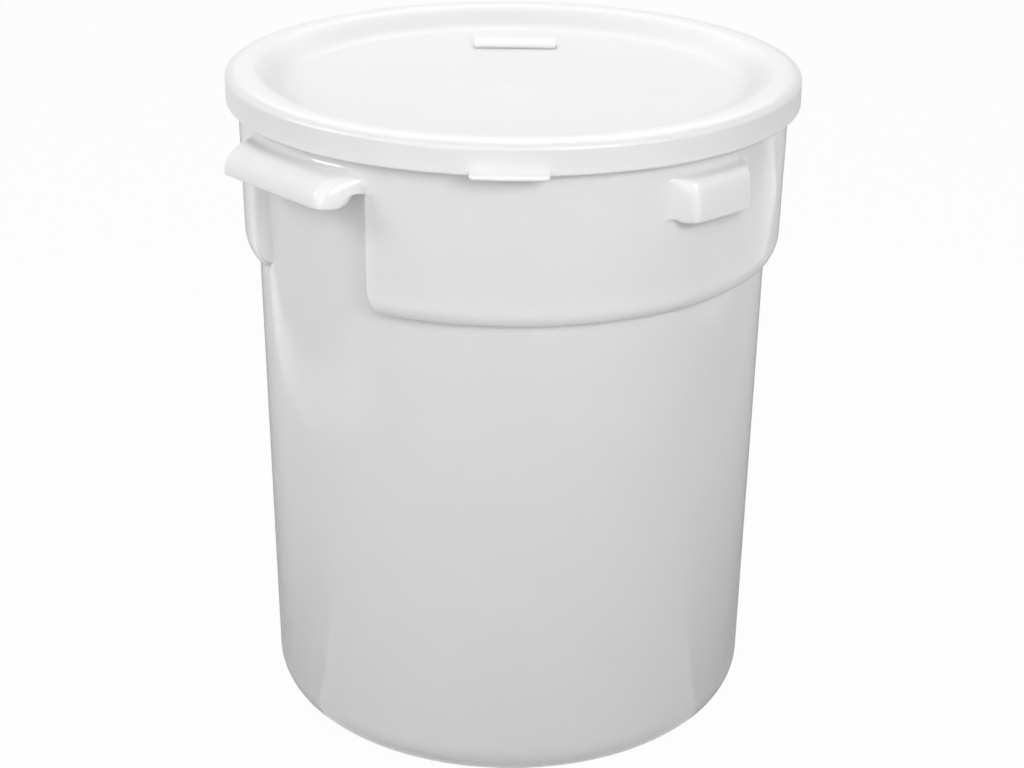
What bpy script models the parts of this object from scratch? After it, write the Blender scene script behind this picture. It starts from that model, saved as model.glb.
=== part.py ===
"""Round food storage bin: a tub with hooked grips and lugs, and the lid that closes over its rim.

Both pieces are thin plastic mouldings. Each is one closed skin: a ring of columns, where a column
is the outline of the wall at one angle round the Z axis, joined to its neighbours with faces. The
grips, the lugs and the recesses under the grips are made by bending the outline as the angle
changes, as the mould does. The origin is at the centre of the base, +Z is up, the grips are on the
X axis and the lugs are on the Y axis.
"""
import math
from collections import namedtuple

import bmesh
import bpy

MM = 0.001

# Tub body, from the floor up
BASE_HOLLOW = 8 * MM
FOOT_WIDTH = 9 * MM
FOOT_SLOPE = 4 * MM
BASE_ROUND = 30 * MM
BODY_BASE_RADIUS = 188.0 * MM
BODY_TOP_RADIUS = 193.6 * MM
BODY_TOP = 373 * MM
WALL = 3.5 * MM
FLOOR = 4 * MM

# Tub collar, the wider band round the top, and the shoulder below it
SHOULDER_HEIGHT = 16 * MM
SHOULDER_STEP = 10.4 * MM
INNER_SHOULDER_RISE = 2 * MM
COLLAR_HEIGHT = 117.7 * MM
COLLAR_DRAFT = 2.3 * MM

# Rim bead, which the lid closes over
RIM_BEAD_OUT = 3.8 * MM
RIM_BEAD_HEIGHT = 9 * MM
RIM_ROUND = 2 * MM

# Lifting grips: hoods over a recess in the collar, open downwards
GRIP_WIDTH = 142 * MM
GRIP_HEIGHT = 22 * MM
GRIP_REACH = 22 * MM
GRIP_BELOW_RIM = 29.7 * MM
GRIP_CHEEK = 25 * MM
GRIP_CHEEK_RISE = 7 * MM
GRIP_THICKNESS = 3.5 * MM
GRIP_DRAFT = 7 * MM
GRIP_ROUNDNESS = 2.0

# Small lugs a quarter turn from the grips
LUG_WIDTH = 85 * MM
LUG_HEIGHT = 31 * MM
LUG_REACH = 14.2 * MM
LUG_BELOW_RIM = 31.7 * MM
LUG_CHEEK = 21.5 * MM
LUG_CHEEK_RISE = 2 * MM
LUG_THICKNESS = 3.5 * MM
LUG_DRAFT = 2 * MM
LUG_ROUNDNESS = 4.0

# Slope of the ledge inside the tub, over the hollow of a grip
LEDGE_SLOPE = 4 * MM

# Lid, from the seat on the rim outwards and then inwards
LID_THICKNESS = 3 * MM
LID_SEAT_GAP = 0.3 * MM
SNAP_CLEARANCE = 0.7 * MM
SNAP_REACH = 0.8 * MM
SNAP_HEIGHT = 3.5 * MM
SNAP_LEAD = 2 * MM
SKIRT_DEPTH = 20 * MM
SKIRT_EDGE = 1.2 * MM
SKIRT_ROUND_WIDTH = 10.5 * MM
SKIRT_ROUND_HEIGHT = 5 * MM
CREST_WIDTH = 14 * MM
DISH_SLOPE_WIDTH = 19 * MM
DISH_DEPTH = 15 * MM
SEAL_CLEARANCE = 0.8 * MM
SEAL_THICKNESS = 2.5 * MM
SEAL_DEPTH = 10 * MM

# Pull tab on the skirt, and the raised bar across the panel from it
TAB_WIDTH = 53 * MM
TAB_REACH = 8.8 * MM
TAB_THICKNESS = 2.6 * MM
TAB_CORNER = 5 * MM
TAB_SIDE_DRAFT = 0.4 * MM
BAR_WIDTH = 64 * MM
BAR_DEPTH = 10 * MM
BAR_HEIGHT = 7 * MM
BAR_DISTANCE = 105 * MM
BAR_SINK = 1 * MM
BAR_ROUND = 1.2 * MM

# The lid may sit at any turn on the rim: its tab is here, in degrees from +X
LID_TURN = -132.5

# Heights and radii that follow from the sizes above
COLLAR_BOTTOM = BODY_TOP + SHOULDER_HEIGHT
RIM_TOP = COLLAR_BOTTOM + COLLAR_HEIGHT
FOOT_OUTER_RADIUS = BODY_BASE_RADIUS - BASE_ROUND
FOOT_INNER_RADIUS = FOOT_OUTER_RADIUS - FOOT_WIDTH
COLLAR_BASE_RADIUS = BODY_TOP_RADIUS + SHOULDER_STEP
COLLAR_TOP_RADIUS = COLLAR_BASE_RADIUS + COLLAR_DRAFT
BEAD_RADIUS = COLLAR_TOP_RADIUS + RIM_BEAD_OUT
SNAP_RADIUS = BEAD_RADIUS + SNAP_CLEARANCE
SKIRT_INNER_RADIUS = SNAP_RADIUS + SNAP_REACH
LID_RADIUS = SKIRT_INNER_RADIUS + LID_THICKNESS
SKIRT_BOTTOM = RIM_TOP - SKIRT_DEPTH
CREST = RIM_TOP + LID_SEAT_GAP + LID_THICKNESS
PANEL = CREST - DISH_DEPTH

# Plastic
TUB_SHADE = 0.80
LID_SHADE = 0.84
ROUGHNESS = 0.22

# How finely the round shapes are faceted
PLAIN_COLUMNS = 8
LID_COLUMNS = 60
ARC_STEPS = 3
SHARP_DEGREES = 35

# Where columns lie on a hood's cheek, and how sharply the cheek turns
CHEEK_SHARES = (0.78, 0.64, 0.52)
CHEEK_SHARPNESS = 3

# The gutter over the foot ring starts this share of the floor's thickness further out than the ring
GUTTER_SHARE = 0.6

QUARTER = math.pi / 2

HOOD_FIELDS = "half_angle cheek_angle draft_angle reach top lip rise thickness roundness recessed"
Hood = namedtuple("Hood", HOOD_FIELDS)
Column = namedtuple("Column", "angle offset hood")


def smooth(share):
    """Rises from 0 to 1 with level ends."""
    share = min(max(share, 0.0), 1.0)
    return share * share * (3 - 2 * share)


def cheek_curve(share):
    """Rises from 0 to 1 with a concave foot, a steep middle and a rounded corner."""
    share = min(max(share, 0.0), 1.0)
    rise = share ** CHEEK_SHARPNESS
    return rise / (rise + (1 - share) ** CHEEK_SHARPNESS)


def arc(start, end, steps=ARC_STEPS, roundness=2.0):
    """Points between two (radius, height) points, leaving the first upright and meeting the last level."""
    power = 2 / roundness
    points = []
    for step in range(1, steps):
        turn = QUARTER * step / steps
        out = 1 - math.cos(turn) ** power
        along = math.sin(turn) ** power
        points.append((start[0] + (end[0] - start[0]) * out, start[1] + (end[1] - start[1]) * along))
    return points


def body_radius(height):
    """Outside of the tapered body wall, carried on upwards behind the recesses."""
    taper = (BODY_TOP_RADIUS - BODY_BASE_RADIUS) / (BODY_TOP - BASE_ROUND)
    return BODY_BASE_RADIUS + taper * (height - BASE_ROUND)


def collar_radius(height):
    """Outside of the collar, which has a gentle draft too."""
    return COLLAR_BASE_RADIUS + COLLAR_DRAFT / COLLAR_HEIGHT * (height - COLLAR_BOTTOM)


def angle_of(length, height):
    """The turn that an arc of this length takes on the collar."""
    return length / collar_radius(height)


def make_hood(width, height, out, below_rim, cheek, rise, thickness, draft, roundness, recessed):
    """A hood's sizes, with its widths along the collar turned into angles."""
    top = RIM_TOP - below_rim
    lip = top - height
    return Hood(angle_of(width / 2, lip), angle_of(cheek, lip), angle_of(draft, lip), out, top, lip, rise,
                thickness, roundness, recessed)


GRIP = make_hood(GRIP_WIDTH, GRIP_HEIGHT, GRIP_REACH, GRIP_BELOW_RIM, GRIP_CHEEK, GRIP_CHEEK_RISE,
                 GRIP_THICKNESS, GRIP_DRAFT, GRIP_ROUNDNESS, True)
LUG = make_hood(LUG_WIDTH, LUG_HEIGHT, LUG_REACH, LUG_BELOW_RIM, LUG_CHEEK, LUG_CHEEK_RISE,
                LUG_THICKNESS, LUG_DRAFT, LUG_ROUNDNESS, False)


def pocket_angle(hood):
    """Half the turn of the hollow under a hood."""
    return hood.half_angle - angle_of(hood.thickness, hood.lip)


def reach(hood, offset, inset=0.0):
    """How far a hood's lip stands off the collar, at a turn from its middle.

    The lip is straight seen from above, and its cheeks curve back into the collar. An inset gives
    the inside of the hood instead.
    """
    half = hood.half_angle - angle_of(inset, hood.lip)
    collar = collar_radius(hood.lip)
    straight = (collar + hood.reach - inset) / math.cos(offset) - collar
    return straight * cheek_curve((half - abs(offset)) / hood.cheek_angle)


def lip_height(hood, offset):
    """Height of a hood's lower edge, which rises at its cheeks."""
    share = cheek_curve((hood.half_angle - abs(offset)) / hood.cheek_angle)
    return hood.lip + hood.rise * (1 - share)


def wall_radius(hood, offset, height, half):
    """Radius of the collar, or of the recess in it, whose sides slope in from half its turn."""
    if not hood.recessed:
        return collar_radius(height)
    share = smooth((half - abs(offset)) / hood.draft_angle)
    return collar_radius(height) + (body_radius(height) - collar_radius(height)) * share


def hood_offsets(hood):
    """Turns from a hood's middle to its columns, from the middle out."""
    flat = max(hood.half_angle - hood.cheek_angle, 0.0)
    pocket = pocket_angle(hood)
    offsets = {0.0, flat, pocket - hood.draft_angle, pocket, hood.half_angle}
    offsets.update(hood.half_angle - hood.cheek_angle * share for share in CHEEK_SHARES)
    if hood.recessed:
        offsets.update((flat / 2, hood.half_angle - hood.draft_angle))
    return sorted(offsets)


def tub_columns():
    """The tub's columns, all the way round."""
    columns = []
    hoods = (GRIP, LUG, GRIP, LUG)
    for place, hood in enumerate(hoods):
        middle = place * QUARTER
        ahead = hoods[(place + 1) % len(hoods)]
        offsets = hood_offsets(hood)
        for offset in [-value for value in reversed(offsets[1:])] + offsets:
            columns.append(Column(middle + offset, offset, hood))
        start = middle + offsets[-1]
        end = middle + QUARTER - hood_offsets(ahead)[-1]
        for step in range(1, PLAIN_COLUMNS + 1):
            angle = start + (end - start) * step / (PLAIN_COLUMNS + 1)
            nearer = hood if step <= PLAIN_COLUMNS / 2 else ahead
            columns.append(Column(angle, QUARTER, nearer))
    return columns


def outside(column):
    """Rows of (name, radius, height) up the outside of the tub, from the base to under the rim bead."""
    hood = column.hood
    offset = column.offset
    pocket = pocket_angle(hood)
    in_pocket = abs(offset) < pocket

    def wall(height):
        return wall_radius(hood, offset, height, pocket)

    rows = [("base", 0.0, BASE_HOLLOW), ("hollow", FOOT_INNER_RADIUS - FOOT_SLOPE, BASE_HOLLOW),
            ("foot_in", FOOT_INNER_RADIUS, 0.0), ("foot_out", FOOT_OUTER_RADIUS, 0.0)]
    turned = arc((BODY_BASE_RADIUS, BASE_ROUND), (FOOT_OUTER_RADIUS, 0.0))
    rows += [("round", *point) for point in reversed(turned)]
    rows += [("body_base", BODY_BASE_RADIUS, BASE_ROUND), ("body_top", BODY_TOP_RADIUS, BODY_TOP)]
    shoulder = arc((COLLAR_BASE_RADIUS, COLLAR_BOTTOM), (BODY_TOP_RADIUS, BODY_TOP))
    for radius, height in reversed(shoulder):
        step_share = (wall(height) - body_radius(height)) / (collar_radius(height) - body_radius(height))
        rows.append(("shoulder", body_radius(height) + (radius - body_radius(height)) * step_share, height))
    rows.append(("collar_bottom", wall(COLLAR_BOTTOM), COLLAR_BOTTOM))

    lip = lip_height(hood, offset)
    ceiling = hood.top - hood.thickness
    if in_pocket:
        inner = collar_radius(lip) + max(reach(hood, offset, hood.thickness), 0.0)
        rows += [("pocket_bottom", wall(lip), lip), ("pocket_top", wall(ceiling), ceiling)]
        under = arc((inner, lip), (collar_radius(ceiling), ceiling), roundness=hood.roundness)
        if hood.recessed:
            rows.append(("pocket_ceiling", collar_radius(ceiling), ceiling))
        rows += [("under", *point) for point in reversed(under)]
        rows.append(("lip_in", inner, lip))
    outer = collar_radius(lip) + reach(hood, offset)
    rows.append(("lip", outer, lip))
    over = arc((outer, lip), (collar_radius(hood.top), hood.top), ARC_STEPS + 1, hood.roundness)
    rows += [("over", *point) for point in over]
    rows.append(("hood_top", collar_radius(hood.top), hood.top))
    return rows


def rim():
    """Rows over the rim bead and down into the tub."""
    bead_bottom = RIM_TOP - RIM_BEAD_HEIGHT
    return [("under_bead", collar_radius(bead_bottom), bead_bottom),
            ("bead_bottom", BEAD_RADIUS, bead_bottom + RIM_ROUND),
            ("bead_top", BEAD_RADIUS, RIM_TOP - RIM_ROUND),
            ("rim_out", BEAD_RADIUS - RIM_ROUND, RIM_TOP),
            ("rim_in", COLLAR_TOP_RADIUS - WALL, RIM_TOP)]


def inside(column):
    """Rows down the inside of the tub to the middle of its floor."""
    hood = column.hood

    def wall(height):
        return wall_radius(hood, column.offset, height, hood.half_angle)

    ledge_low = hood.top - hood.thickness + INNER_SHOULDER_RISE
    ledge_high = ledge_low + LEDGE_SLOPE
    shoulder_high = COLLAR_BOTTOM + INNER_SHOULDER_RISE
    shoulder_low = BODY_TOP + INNER_SHOULDER_RISE
    floor = BASE_HOLLOW + FLOOR
    gutter_in = FOOT_INNER_RADIUS + FLOOR * GUTTER_SHARE
    gutter_out = (FOOT_OUTER_RADIUS, FLOOR)
    wall_foot = (BODY_BASE_RADIUS - WALL, BASE_ROUND)
    rows = [("ledge_high", collar_radius(ledge_high) - WALL, ledge_high),
            ("ledge_low", wall(ledge_low) - WALL, ledge_low),
            ("inner_shoulder_high", wall(shoulder_high) - WALL, shoulder_high),
            ("inner_shoulder_low", body_radius(shoulder_low) - WALL, shoulder_low),
            ("wall_foot", *wall_foot)]
    rows += [("floor_round", *point) for point in arc(wall_foot, gutter_out)]
    rows += [("gutter_out", *gutter_out), ("gutter_in", gutter_in, FLOOR),
             ("floor_edge", gutter_in - FOOT_SLOPE, floor), ("floor", 0.0, floor)]
    return rows


def numbered(rows):
    """Gives repeated row names a number, so that every row of a column has its own name."""
    seen = {}
    result = []
    for name, radius, height in rows:
        seen[name] = seen.get(name, 0) + 1
        result.append((name, seen[name], radius, height))
    return result


def add_column(mesh, angle, rows, poles):
    """Makes a column's vertices. Points on the Z axis are shared by all columns."""
    column = []
    for name, number, radius, height in numbered(rows):
        if radius == 0.0:
            if name not in poles:
                poles[name] = mesh.verts.new((0.0, 0.0, height))
            vertex = poles[name]
        else:
            vertex = mesh.verts.new((radius * math.cos(angle), radius * math.sin(angle), height))
        column.append(((name, number), vertex))
    return column


def add_face(mesh, corners):
    """Adds a face, leaving out a corner that comes twice at a pole."""
    corners = list(dict.fromkeys(corners))
    if len(corners) > 2:
        mesh.faces.new(corners)


def join_columns(mesh, left, right):
    """Joins two neighbouring columns.

    A hollow's rows are in one column only where it ends: there they all close on the next row that
    the two columns share, which is the corner of the hood's lip.
    """
    right_names = {name for name, vertex in right}
    left_names = {name for name, vertex in left}
    i = j = 0
    while i < len(left) - 1 or j < len(right) - 1:
        left_only = i + 1 < len(left) and left[i + 1][0] not in right_names
        right_only = j + 1 < len(right) and right[j + 1][0] not in left_names
        if left_only and left[i][0] in right_names:
            add_face(mesh, (left[i][1], right[j][1], right[j + 1][1], left[i + 1][1]))
            i += 1
            j += 1
        elif right_only and right[j][0] in left_names:
            add_face(mesh, (left[i][1], right[j][1], right[j + 1][1], left[i + 1][1]))
            i += 1
            j += 1
        elif left[i][0] not in right_names:
            add_face(mesh, (left[i][1], right[j][1], left[i + 1][1]))
            i += 1
        elif right[j][0] not in left_names:
            add_face(mesh, (left[i][1], right[j][1], right[j + 1][1]))
            j += 1
        else:
            add_face(mesh, (left[i][1], right[j][1], right[j + 1][1], left[i + 1][1]))
            i += 1
            j += 1


def make_object(name, columns, material):
    """Joins a ring of columns of (angle, rows) into one smooth closed object."""
    mesh = bmesh.new()
    poles = {}
    ring = [add_column(mesh, angle, rows, poles) for angle, rows in columns]
    for left, right in zip(ring, ring[1:] + ring[:1]):
        join_columns(mesh, left, right)
    bmesh.ops.recalc_face_normals(mesh, faces=mesh.faces)
    data = bpy.data.meshes.new(name)
    mesh.to_mesh(data)
    mesh.free()
    data.materials.append(material)
    data.shade_smooth()
    data.set_sharp_from_angle(angle=math.radians(SHARP_DEGREES))
    piece = bpy.data.objects.new(name, data)
    bpy.context.collection.objects.link(piece)
    return piece


def polyethylene(name, shade):
    """Glossy white polyethylene."""
    material = bpy.data.materials.new(name)
    material.use_nodes = True
    shader = material.node_tree.nodes["Principled BSDF"]
    shader.inputs["Base Color"].default_value = (shade, shade, shade, 1)
    shader.inputs["Roughness"].default_value = ROUGHNESS
    shader.inputs["Metallic"].default_value = 0.0
    return material


def make_tub():
    """The tub, with its grips, lugs and recesses."""
    columns = [(column.angle, outside(column) + rim() + inside(column)) for column in tub_columns()]
    return make_object("tub", columns, polyethylene("tub_white", TUB_SHADE))


def tab_columns():
    """The lid's columns, as (angle, reach of the tab), with the tab's middle at the lid's turn."""
    turn = math.radians(LID_TURN)
    half = TAB_WIDTH / 2 / LID_RADIUS
    corner = TAB_CORNER / LID_RADIUS
    draft = TAB_SIDE_DRAFT / LID_RADIUS
    side = [(half - corner, TAB_REACH), (half, TAB_REACH - TAB_CORNER), (half + draft, 0.0)]
    tab = [(-offset, out) for offset, out in reversed(side)] + [(0.0, TAB_REACH)] + side
    rest = 2 * math.pi - 2 * (half + draft)
    plain = [(half + draft + rest * step / LID_COLUMNS, 0.0) for step in range(1, LID_COLUMNS)]
    return [(turn + offset, reach_out) for offset, reach_out in tab + plain]


def lid_rows(tab_reach):
    """Rows of the lid, from the middle of its top, over the crest, round the skirt and back below."""
    under_crest = CREST - LID_THICKNESS
    crest_out = LID_RADIUS - SKIRT_ROUND_WIDTH
    crest_in = crest_out - CREST_WIDTH
    dish_edge = crest_in - DISH_SLOPE_WIDTH
    skirt_top = CREST - SKIRT_ROUND_HEIGHT
    tab_top = SKIRT_BOTTOM + TAB_THICKNESS
    snap_top = SKIRT_BOTTOM + SNAP_HEIGHT
    seal_out = COLLAR_TOP_RADIUS - WALL - SEAL_CLEARANCE
    seal_in = seal_out - SEAL_THICKNESS
    corner = SKIRT_INNER_RADIUS - RIM_ROUND + SNAP_CLEARANCE
    edge = 0.0 if tab_reach else SKIRT_EDGE
    tab_edge = LID_RADIUS + tab_reach
    tab_lip = SKIRT_BOTTOM + (TAB_THICKNESS if tab_reach else SKIRT_EDGE)
    slope = LID_THICKNESS / 2
    rows = [("top", 0.0, PANEL), ("dish_edge", dish_edge, PANEL),
            ("dish_rise", dish_edge + slope, PANEL + slope), ("crest_rise", crest_in - slope, CREST - slope),
            ("crest_in", crest_in, CREST), ("crest_out", crest_out, CREST)]
    over = arc((LID_RADIUS, skirt_top), (crest_out, CREST))
    rows += [("over", *point) for point in reversed(over)]
    rows += [("skirt_top", LID_RADIUS, skirt_top), ("tab_root", LID_RADIUS, tab_top + TAB_SIDE_DRAFT),
             ("tab_top", tab_edge, tab_lip), ("tab_bottom", tab_edge - edge, SKIRT_BOTTOM),
             ("snap_bottom", SNAP_RADIUS, SKIRT_BOTTOM), ("snap_top", SNAP_RADIUS, snap_top),
             ("skirt_in", SKIRT_INNER_RADIUS, snap_top + SNAP_LEAD),
             ("channel_side", SKIRT_INNER_RADIUS, under_crest - RIM_ROUND),
             ("channel_corner", corner, under_crest), ("seal_root_out", seal_out, under_crest),
             ("seal_out", seal_out, under_crest - SEAL_DEPTH), ("seal_in", seal_in, under_crest - SEAL_DEPTH),
             ("seal_root_in", seal_in, under_crest), ("under_crest_in", crest_in, under_crest),
             ("under_dish_edge", dish_edge, PANEL - LID_THICKNESS), ("below", 0.0, PANEL - LID_THICKNESS)]
    return rows


def make_bar(material):
    """The raised bar, a block whose foot sinks into the panel, opposite the tab."""
    mesh = bmesh.new()
    bmesh.ops.create_cube(mesh, size=1)
    bmesh.ops.scale(mesh, verts=mesh.verts, vec=(BAR_DEPTH, BAR_WIDTH, BAR_HEIGHT + BAR_SINK))
    bmesh.ops.bevel(mesh, geom=mesh.edges, offset=BAR_ROUND, segments=1, affect="EDGES")
    data = bpy.data.meshes.new("bar_guide")
    mesh.to_mesh(data)
    mesh.free()
    data.materials.append(material)
    bar = bpy.data.objects.new("bar_guide", data)
    bpy.context.collection.objects.link(bar)
    turn = math.radians(LID_TURN)
    distance = -(BAR_DISTANCE + BAR_DEPTH / 2)
    bar.location = (distance * math.cos(turn), distance * math.sin(turn), PANEL + (BAR_HEIGHT - BAR_SINK) / 2)
    bar.rotation_euler.z = turn
    bar.hide_render = True
    bar.display_type = "WIRE"
    return bar


def make_lid():
    """The lid, with its tab and bar."""
    white = polyethylene("lid_white", LID_SHADE)
    columns = [(angle, lid_rows(tab_reach)) for angle, tab_reach in tab_columns()]
    lid = make_object("lid", columns, white)
    union = lid.modifiers.new("bar", "BOOLEAN")
    union.operation = "UNION"
    union.object = make_bar(white)
    return lid


def clear_scene():
    """Removes what the scene holds at the start."""
    for thing in list(bpy.data.objects):
        bpy.data.objects.remove(thing, do_unlink=True)


clear_scene()
make_tub()
make_lid()
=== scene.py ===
# %% [markdown]
# A round food storage bin: a tapered tub with hooked grips, and a lid pressed over its rim. Both are
# injection mouldings in white polyethylene. The imported model gives where each piece lies and how the
# lid moves. This script rebuilds both skins finely, with the rounded edges that a mould leaves, and
# gives them a finish and a studio. Loading the frame comes first, and the sizes of its boxes are
# printed.

# %% Load the frame
import math
from collections import namedtuple

import bmesh
import bpy
import numpy as np
from mathutils import Matrix, Vector


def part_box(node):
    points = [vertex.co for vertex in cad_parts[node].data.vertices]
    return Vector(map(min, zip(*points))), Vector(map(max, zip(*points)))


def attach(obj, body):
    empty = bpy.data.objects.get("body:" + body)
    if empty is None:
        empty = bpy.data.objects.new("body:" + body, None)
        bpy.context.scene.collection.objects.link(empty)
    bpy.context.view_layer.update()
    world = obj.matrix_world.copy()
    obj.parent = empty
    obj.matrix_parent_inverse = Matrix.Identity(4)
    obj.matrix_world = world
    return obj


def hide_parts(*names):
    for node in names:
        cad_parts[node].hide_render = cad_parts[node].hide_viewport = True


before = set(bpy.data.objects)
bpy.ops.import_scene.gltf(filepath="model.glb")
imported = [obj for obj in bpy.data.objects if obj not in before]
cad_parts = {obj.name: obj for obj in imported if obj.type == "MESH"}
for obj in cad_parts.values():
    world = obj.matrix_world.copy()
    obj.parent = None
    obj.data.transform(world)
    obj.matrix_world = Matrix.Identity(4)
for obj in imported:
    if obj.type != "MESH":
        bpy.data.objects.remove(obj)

MM = 0.001
QUARTER = math.pi / 2
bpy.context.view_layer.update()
tub_low, tub_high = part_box("tub")
lid_low, lid_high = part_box("lid")
print("tub", [round(value / MM, 1) for value in tub_high - tub_low], "mm")
print("lid", [round(value / MM, 1) for value in lid_high - lid_low], "mm")

# %% [markdown]
# The camera stands where the photographer stood: a little over a metre and a half away, with a short
# telephoto lens, looking down on the lid. Setting it by hand would take many tries, so its place comes
# from fitting the rim's ellipse and the base to the picture. It is kept as a few named values: a turn
# round the bin, a distance, a millimetre's step aside, a height, a tilt and a very small roll.

# %% Camera
CAMERA_TURN = math.radians(-42)
CAMERA_DISTANCE = 1.5974
CAMERA_ASIDE = 0.0011
CAMERA_HEIGHT = 0.914
CAMERA_TILT = math.radians(22.58)
CAMERA_ROLL = 0.0097
CAMERA_LENS = 76.65
SENSOR = 36.0

camera_data = bpy.data.cameras.new("camera")
camera_data.lens = CAMERA_LENS
camera_data.sensor_width = SENSOR
camera = bpy.data.objects.new("camera", camera_data)
bpy.context.collection.objects.link(camera)
bpy.context.scene.camera = camera
facing = Matrix.Rotation(CAMERA_TURN, 4, "Z")
place = facing @ Vector((CAMERA_ASIDE, -CAMERA_DISTANCE, CAMERA_HEIGHT))
aim = Matrix.Rotation(QUARTER - CAMERA_TILT, 4, "X") @ Matrix.Rotation(CAMERA_ROLL, 4, "Z")
camera.matrix_world = Matrix.Translation(place) @ facing @ aim
print("camera at", [round(value, 3) for value in camera.location])

# %% [markdown]
# A moulded skin is easiest to describe as outlines. At each angle round the axis the wall has an
# outline of radius and height, and neighbouring outlines are joined with faces. The real edges are
# all rounded, because plastic doesn't fill a sharp corner. A Bevel modifier would stumble where the
# grips fade into the collar, so the rounding is done on the outline itself: a few extra points are
# put beside each corner, and then points near a corner are drawn towards the middle of their
# neighbours. Far from the corners the outline stays as it was.

# %% Outlines with soft corners
SOFT_POINTS = 3
SOFT_ROUNDS = 6
LONGEST_SHARE = 0.3

Corner = namedtuple("Corner", "name radius height softness")
Row = namedtuple("Row", "key radius height pull")


def corner(name, radius, height, softness=0.0):
    """A corner of an outline. Its softness is the spacing of the points that round it."""
    return Corner(name, radius, height, softness)


def beside(start, end, spacing):
    """Points from a corner towards the next one, close to the corner."""
    run = Vector((end.radius - start.radius, end.height - start.height))
    spacing = min(spacing, run.length * LONGEST_SHARE / SOFT_POINTS)
    step = run.normalized() * spacing
    return [(start.radius + step.x * count, start.height + step.y * count)
            for count in range(1, SOFT_POINTS + 1)]


def soften(corners):
    """Turns corners into rows of (key, radius, height), with each soft corner rounded. The outermost of
    the added points stay where they are, so the roundness ends there."""
    rows = []
    for place, here in enumerate(corners):
        if here.softness and place:
            before = beside(here, corners[place - 1], here.softness)
            for count, point in reversed(list(enumerate(before, 1))):
                rows.append(Row((here.name, -count), *point, count < SOFT_POINTS))
        rows.append(Row((here.name, 0), here.radius, here.height, here.softness > 0))
        if here.softness and place < len(corners) - 1:
            for count, point in enumerate(beside(here, corners[place + 1], here.softness), 1):
                rows.append(Row((here.name, count), *point, count < SOFT_POINTS))
    points = np.array([(row.radius, row.height) for row in rows])
    pull = np.array([row.pull for row in rows], float)[1:-1, None]
    for round_number in range(SOFT_ROUNDS):
        middle = (points[:-2] + points[2:]) / 2
        points[1:-1] += (middle - points[1:-1]) * pull
    return [(row.key, *point) for row, point in zip(rows, points)]


def arc(name, start, end, steps, roundness=2.0, share=1.0):
    """Corners between two (radius, height) points, leaving the first upright and meeting the last level.
    A roundness of 2 gives a quarter of an ellipse, and more gives a squarer corner. A share below 1
    stops the turn before the level end."""
    power = 2 / roundness
    corners = []
    for step in range(1, steps):
        turn = QUARTER * share * step / steps
        out = 1 - math.cos(turn) ** power
        along = math.sin(turn) ** power
        corners.append(corner((name, step), start[0] + (end[0] - start[0]) * out,
                              start[1] + (end[1] - start[1]) * along))
    return corners


sample = [corner("foot", 0.0, 0.0), corner("edge", 1.0, 0.0, 0.1), corner("top", 1.0, 1.0)]
print("one soft edge between two sharp corners takes", len(soften(sample)) - 2, "points")

# %% [markdown]
# Two outlines with the same rows are joined row by row. Under a grip the outline has more rows than
# beside it, because the mould has a hollow there. Where the hollow ends, its rows close like a fan on
# the next row that both outlines have, which leaves no hole in the skin.

# %% Joining outlines into a skin
def add_column(mesh, angle, rows, poles):
    """Makes the vertices of one outline. Points on the axis are shared by all outlines."""
    column = []
    for key, radius, height in rows:
        if radius == 0.0:
            if key not in poles:
                poles[key] = mesh.verts.new((0.0, 0.0, height))
            vertex = poles[key]
        else:
            vertex = mesh.verts.new((radius * math.cos(angle), radius * math.sin(angle), height))
        column.append((key, vertex))
    return column


def add_face(mesh, corners):
    """Adds a face, leaving out a corner that comes twice at a pole."""
    corners = list(dict.fromkeys(corners))
    if len(corners) > 2:
        mesh.faces.new(corners)


def join_columns(mesh, left, right):
    """Joins two neighbouring outlines. Rows that both have are joined by faces with four corners, and a
    run of rows that only one of them has closes on the other with triangles."""
    right_keys = {key for key, vertex in right}
    left_keys = {key for key, vertex in left}
    i = j = 0
    while i < len(left) - 1 or j < len(right) - 1:
        left_starts = i + 1 < len(left) and left[i + 1][0] not in right_keys and left[i][0] in right_keys
        right_starts = j + 1 < len(right) and right[j + 1][0] not in left_keys and right[j][0] in left_keys
        both = left[i][0] == right[j][0]
        if both or left_starts or right_starts:
            add_face(mesh, (left[i][1], right[j][1], right[j + 1][1], left[i + 1][1]))
            i += 1
            j += 1
        elif left[i][0] not in right_keys:
            add_face(mesh, (left[i][1], right[j][1], left[i + 1][1]))
            i += 1
        else:
            add_face(mesh, (left[i][1], right[j][1], right[j + 1][1]))
            j += 1


def make_piece(name, mesh):
    """Turns a finished mesh into a smoothly shaded object."""
    data = bpy.data.meshes.new(name)
    mesh.to_mesh(data)
    mesh.free()
    data.shade_smooth()
    piece = bpy.data.objects.new(name, data)
    bpy.context.collection.objects.link(piece)
    print(name, "has", len(data.vertices), "points and", len(data.polygons), "faces")
    return piece


def make_skin(name, columns):
    """Joins a ring of (angle, rows) into one closed piece."""
    mesh = bmesh.new()
    poles = {}
    ring = [add_column(mesh, angle, rows, poles) for angle, rows in columns]
    for left, right in zip(ring, ring[1:] + ring[:1]):
        join_columns(mesh, left, right)
    bmesh.ops.recalc_face_normals(mesh, faces=mesh.faces)
    return make_piece(name, mesh)


print("a skin is closed: its last outline joins its first")

# %% [markdown]
# The tub is a plain cone at heart. Above it the collar steps out, and under each long grip the collar
# is cut away down to the body, so that fingers fit behind the grip's lip. All radii follow from the
# body's radius and the steps outwards from it, and all heights from the body's height upwards. Three
# sorts of edge, fine, medium and broad, say how far apart the points lie that round a corner.

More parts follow.
